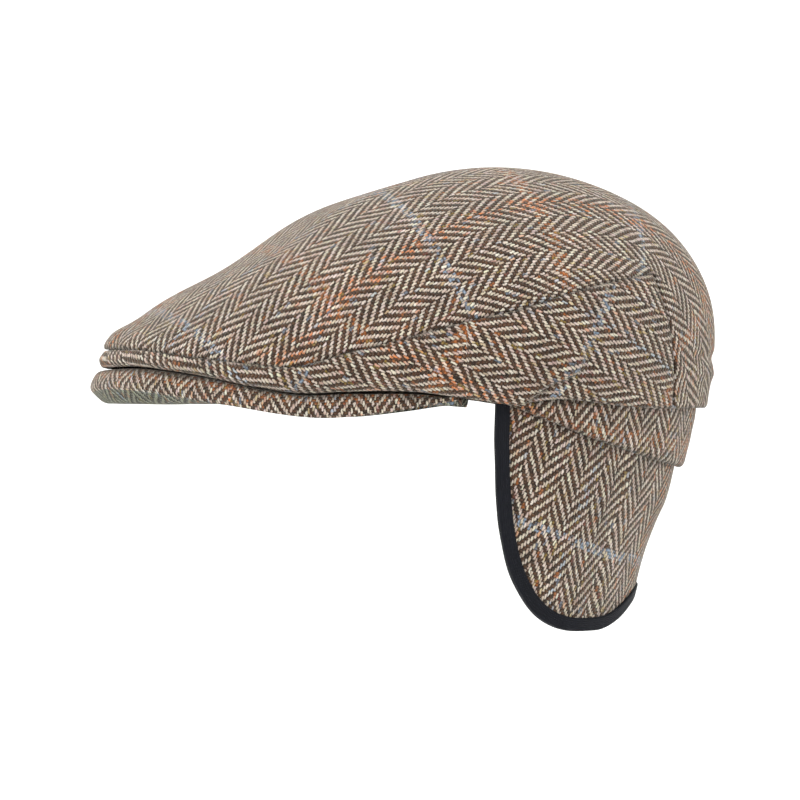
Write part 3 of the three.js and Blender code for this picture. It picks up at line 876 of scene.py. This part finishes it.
def makePeak():
    plan = peakPlan
    angle = np.linspace(-1, 1, plan["steps"] + 1) * plan["hornAngle"]
    side = np.abs(angle)
    edge = crownSurface(angle, 2.0)
    run = crownSurface(angle + 0.5, 2.0) - crownSurface(angle - 0.5, 2.0)
    outward = unit(np.stack([run[:, 1], -run[:, 0], np.zeros_like(side)], -1))
    reach = read(lipReach, "angle", "reach", side)
    low = read(lipHeights, "y", "low", edge[:, 1])
    thick = read(lipHeights, "y", "thick", edge[:, 1])
    x, y = outline(angle, foreheadOval)
    inner = np.stack([x, y, read(lipReach, "angle", "foreheadZ", side)], -1)

    def out(distance, z):
        return lifted(edge + outward * distance[:, None], z)

    groove = out(np.minimum(0, reach - plan["groove"]), edge[:, 2] - walls["restGap"])
    width = np.hypot(*(groove - inner)[:, :2].T)
    share = np.minimum(plan["shelfShare"], plan["shelf"] / width)[:, None]
    bench = lifted(groove + (inner - groove) * share, groove[:, 2])
    middle = (bench + inner) / 2
    browZ = groove[:, 2] - plan["browDrop"]
    brow = out(reach - plan["brow"], browZ)
    nose = out(reach, low + thick * plan["nose"])
    chin = out(reach, low + thick * plan["chin"])
    tuck = out(reach - plan["tuck"], low)

    def below(points):
        return lifted(points, np.minimum(points[:, 2] - thick, plan["undersideZ"]))

    heel = lifted(inner, inner[:, 2] - thick * plan["heel"])
    loop = [inner, middle, bench, groove, brow, nose, chin, tuck]
    loop += [below(groove), below(bench), below(middle), heel]
    loop = np.stack(loop, 1)
    for _ in range(plan["smooth"]):  # cuts the corners of the section until it is round
        ahead = np.roll(loop, -1, axis=1)
        loop = np.stack([loop * 0.75 + ahead * 0.25, loop * 0.25 + ahead * 0.75], 2)
        loop = loop.reshape(len(loop), -1, 3)
    rows, columns = loop.shape[:2]
    swell = plan["swell"]
    loop[..., 2] += softWaves(loop, swell["wave"], swell["seed"]) * swell["height"]

    lip = np.argmin(np.abs(loop - nose[:, None]).sum(2)[rows // 2])
    lengthwise = runAlong(loop[:, lip])
    lengthwise -= lengthwise[rows // 2]
    closed = np.concatenate([loop, loop[:, :1]], 1)
    sectionRun = runAlong(closed, 1)
    sectionRun -= sectionRun[:, lip : lip + 1]
    cloth = np.stack([np.repeat(lengthwise[:, None], columns + 1, 1), sectionRun], -1)
    quads, ends, same = tubeFaces(rows, columns)
    slots = np.zeros(quads.shape[:2], int)
    slots[:, plan["facingFrom"] :] = 1
    faces = quads.reshape(-1, 4).tolist() + ends
    slots = slots.ravel().tolist() + [0, 0]
    # the underside takes the same tweed in painted shade, darker and grey-green
    tweeds = [tweedFor("peak"), tweedFor("facing")]
    # painted shade in the crease under the strip, on the lip's upper side; none elsewhere
    shadeDistance = np.where(sectionRun < 0, np.maximum(0, plan["crease"] + sectionRun), plan["noCrease"])
    points, cloth = closed.reshape(-1, 3), cloth.reshape(-1, 2)
    peak = meshPiece("peak", points, faces, cloth, tweeds, slots, shadeDistance.ravel(), same)
    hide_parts("peak")


# Neck band: a wedge below the rim that grows toward the back

bandPlan = {
    "top": 4, "halfSpan": 84, "slope": 0.06, "curve": 0.0056, "roll": 2.2, "steps": (210, 26),
    # height, wave length and seed of each swell
    "swells": ((0.5, 26, 41), (0.3, 11, 42)),
}
bandDrop = {
    "y": [8, 18, 35, 50, 68, 85, 99.6],
    "low": [0.6, -2.2, -8.6, -14.4, -20.2, -25.3, -29],
}


def makeNeckBand(tweed):
    places, shares = (paced(steps) for steps in bandPlan["steps"])
    angle = 180 + bandPlan["halfSpan"] * (2 * places - 1)
    x, y = outline(angle, bandOval)
    low = read(bandDrop, "y", "low", y)
    halfWidth, back = bandOval["halfWidth"], bandOval["back"]
    outward = unit(np.stack([x / halfWidth**2, y / back**2, 0 * x], -1))
    z = bandPlan["top"] + (low - bandPlan["top"])[:, None] * shares
    depth = np.maximum(0, -z)
    draw = bandPlan["slope"] * depth + bandPlan["curve"] * depth**2
    face = np.stack([x[:, None] + 0 * z, y[:, None] + 0 * z, z], -1)
    face -= outward[:, None] * draw[..., None]
    normal = np.repeat(outward[:, None], len(shares), 1)
    flat = flatCloth(face, places, shares)
    middle = len(places) // 2
    flat = turnCloth(flat, (middle, 0), (middle, len(shares) - 1), -90)
    swell = sum(height * softWaves(face, wave, seed) for height, wave, seed in bandPlan["swells"])
    face = face + normal * (swell * clamp(depth / 10))[..., None]
    # painted shadow under the crown's lower edge: how far each point lies below it
    under = np.maximum(0, -1 - z)
    band = clothPiece("neckBand", face, normal, walls["band"], bandPlan["roll"], flat, tweed, under)
    declareSheet("neck_band")


# Ear flap: one piece round the back, its angles counted from the centre back toward each ear

flapOvals = {
    "z": [4, 0, -29, -43, -52, -66, -84, -98],
    "halfWidth": [77.2, 77, 74.6, 73.4, 72.6, 71.2, 69.4, 68.2],
    "back": [95.9, 95.4, 89.8, 86.4, 82.4, 77, 72, 69],
}
flapPlan = {
    "top": 3,
    "napeZ": -84, "lobeZ": -95.5,
    "lobeAngle": 40, "frontAngle": 82, "frontTurn": 87.5,
    "roundness": 3,  # of the lobe's front corner; 2 is an ellipse
    "edgeSteps": (64, 36), "rows": 60, "roll": 1.2,
    "swell": {"height": 0.35, "wave": 45, "seed": 51, "fullBelow": 20},
}


def flapSurface(angle, z):
    halfWidth = read(flapOvals, "z", "halfWidth", z)
    back = read(flapOvals, "z", "back", z)
    turn = np.radians(angle)
    return np.stack([halfWidth * np.sin(turn), back * np.cos(turn), z + 0 * turn], -1)


def flapNormal(angle, z):
    around = flapSurface(angle + 0.5, z) - flapSurface(angle - 0.5, z)
    up = flapSurface(angle, z + 0.5) - flapSurface(angle, z - 0.5)
    return unit(np.cross(up, around))


def flapEdge():
    # the whole free edge, from one ear's front edge round to the other
    plan = flapPlan
    lobeSteps, napeSteps = plan["edgeSteps"]
    turn = np.radians(plan["frontTurn"]) * np.arange(lobeSteps, -1, -1) / lobeSteps
    power = 2 / plan["roundness"]
    angle = plan["lobeAngle"] + (plan["frontAngle"] - plan["lobeAngle"]) * np.sin(turn) ** power
    z = plan["lobeZ"] * np.cos(turn) ** power
    nape = plan["lobeAngle"] * (1 - np.arange(1, napeSteps + 1) / napeSteps)
    rise = (1 + np.cos(math.pi * nape / plan["lobeAngle"])) / 2
    napeZ = plan["lobeZ"] + (plan["napeZ"] - plan["lobeZ"]) * rise
    angle = np.concatenate([angle, nape])
    z = np.concatenate([z, napeZ])
    return np.concatenate([angle, -angle[-2::-1]]), np.concatenate([z, z[-2::-1]])


def makeEarFlap(tweed):
    angle, low = flapEdge()
    shares = paced(flapPlan["rows"])
    z = flapPlan["top"] + (low - flapPlan["top"])[:, None] * shares
    angle = np.repeat(angle[:, None], len(shares), 1)
    face = flapSurface(angle, z)
    normal = flapNormal(angle, z)
    places = np.arange(len(low)) / (len(low) - 1)
    flat = flatCloth(face, places, shares)
    middle = len(low) // 2
    flat = turnCloth(flat, (middle, 0), (middle, len(shares) - 1), -90)
    swell = flapPlan["swell"]
    lift = swell["height"] * softWaves(face, swell["wave"], swell["seed"])
    face = face + normal * (lift * clamp(-z / swell["fullBelow"]))[..., None]
    # painted shadow under the band's lower edge: how far each point lies below it
    bandEdge = read(bandDrop, "y", "low", np.clip(face[..., 1], bandDrop["y"][0], bandDrop["y"][-1]))
    under = np.maximum(0, bandEdge - z)
    flap = clothPiece("earFlap", face, normal, walls["flap"], flapPlan["roll"], flat, tweed, under)
    declareSheet("ear_flap")


# Braided cotton tape dyed navy, pressed over the edge: fine lengthwise ribs with a dull lustre
bindingPlan = {
    "navy": "#08090e", "ribHighlight": "#12151e",
    "rib": 0.85, "pick": 0.7, "depth": 0.2,  # mm
    "cover": 4.8, "gap": 0.3, "thick": 0.9, "bend": 0.2,
    "rounding": 15,  # steps round the fold
    "ends": (2, -3.5), "endSteps": 6,
    "wave": {"height": 0.18, "length": 16, "seed": 61},
}


def makeTapeMaterial():
    plan = bindingPlan
    made, tree = startMaterial("pressedCottonTape")
    cloth = put(tree, "UVMap", uv_map="cloth")
    split = put(tree, "SeparateXYZ", [cloth]).node
    waves = {}
    for axis, part in enumerate(("pick", "rib")):
        turn = put(tree, "Math.MULTIPLY", [split.outputs[axis], 2 * math.pi / plan[part]])
        waves[part] = put(tree, "Math.SINE", [turn])
    rib = waves["rib"]
    woven = put(tree, "Math.MULTIPLY", [rib, waves["pick"]])
    relief = put(tree, "Math.MULTIPLY_ADD", [woven, 0.35, rib])
    mottle = put(tree, "TexNoise", [cloth, None, 0.25, 4.0], noise_dimensions="2D")
    # the rib tops are painted paler than the grooves, a painted highlight, broken up by a random mottle
    tone = put(tree, "MapRange", [relief, -1.2, 1.2, 0.0, 0.7])
    tone = put(tree, "Math.MULTIPLY", [tone, mottle])
    mixed = {0: tone, 6: linear(plan["navy"]), 7: linear(plan["ribHighlight"])}
    colour = put(tree, "Mix", mixed, data_type="RGBA")
    bump = put(tree, "Bump", {"Strength": 0.5, "Distance": plan["depth"] * mm, "Height": relief})
    cotton = {
        "Base Color": colour,
        "Roughness": 0.7,
        "Specular IOR Level": 0.12,
        "Sheen Weight": 0.01,
        "Sheen Roughness": 0.5,
        "Sheen Tint": linear("#8c93a8"),
        "Normal": bump,
    }
    put(tree, "OutputMaterial", {"Surface": put(tree, "BsdfPrincipled", cotton)})
    return made


def makeBinding():
    plan = bindingPlan
    angle, z = flapEdge()
    steps = plan["endSteps"]
    top = np.linspace(*map(float, plan["ends"]), steps)
    angle = np.concatenate([np.full(steps, angle[0]), angle, np.full(steps, angle[-1])])
    z = np.concatenate([top, z, top[::-1]])
    normal = flapNormal(angle, z)
    centre = flapSurface(angle, z) - normal * walls["flap"] / 2
    outward = unit(np.cross(np.gradient(centre, axis=0), normal))
    cover, gap, bend = plan["cover"], plan["gap"], plan["bend"]
    near = walls["flap"] / 2 + gap
    far = near + plan["thick"]
    tip = gap + plan["thick"]
    # the outside of the fold, then back along its inside: past the edge, off the middle
    turn = np.linspace(math.pi / 2, -math.pi / 2, plan["rounding"])
    outside = [(-cover, far - 0.25), (-cover + 0.5, far)]
    outside += [(-cover * (1 - share), far) for share in (0.35, 0.6, 0.85)]
    outside += [(bend + (tip - bend) * math.cos(t), far * math.sin(t)) for t in turn]
    outside += [(-cover * share, -far) for share in (0.15, 0.4, 0.65)]
    outside += [(-cover + 0.5, -far), (-cover, -far + 0.25)]
    inside = [(-cover, -near), (bend / 2, -near), (gap, gap - near)]
    inside += [(gap, near - gap), (bend / 2, near), (-cover, near)]
    section = np.array(outside + inside)
    points = centre[:, None] + outward[:, None] * section[:, 0, None] + normal[:, None] * section[:, 1, None]
    rows, columns = points.shape[:2]
    wave = plan["wave"]["height"] * softWaves(points, plan["wave"]["length"], plan["wave"]["seed"])
    points += outward[:, None] * (wave * (section[:, 0] > 0))[..., None]
    lengthwise = runAlong(centre)
    crosswise = runAlong(np.concatenate([section, section[:1]]))
    points = np.concatenate([points, points[:, :1]], 1).reshape(-1, 3)
    cloth = np.stack(np.meshgrid(lengthwise, crosswise, indexing="ij"), -1)
    quads, ends, same = tubeFaces(rows, columns)
    faces = quads.reshape(-1, 4).tolist() + ends
    binding = meshPiece("flapBinding", points, faces, cloth.reshape(-1, 2), [makeTapeMaterial()], same=same)
    declareSheet("flap_binding")


# Where a rust line falls among each piece's columns, and a blue one across them, in mm; the top is
# painted a little paler, as painted light, and the facing under the peak is the same tweed in
# painted shade, darker and grey-green
tweedLooks = {
    "top": {"lines": (126, 13), "shade": 1.05},
    "side": {"lines": (-6, 54)},
    "peak": {"lines": (108, 40)},
    "facing": {"warp": ("#9fa28c", "#85876f"), "weft": ("#3c3b32", "#26261f"), "shade": 0.66},
    "band": {"lines": (-118, -76)},
    "flap": {"lines": (-122, -78)},
}


def tweedFor(piece):
    return makeTweed("brushedHerringboneTweed" + piece.title(), **tweedLooks[piece])


makeCrownTop()
print("top panel made")
sideTweed = tweedFor("side")
makeCrownSide("crownSideLeft", "crown_side_left", 1, sideTweed)
makeCrownSide("crownSideRight", "crown_side_right", -1, sideTweed)
print("side panels made")
makePeak()
print("peak made")
makeNeckBand(tweedFor("band"))
makeEarFlap(tweedFor("flap"))
makeBinding()
print("band, flap and binding made")
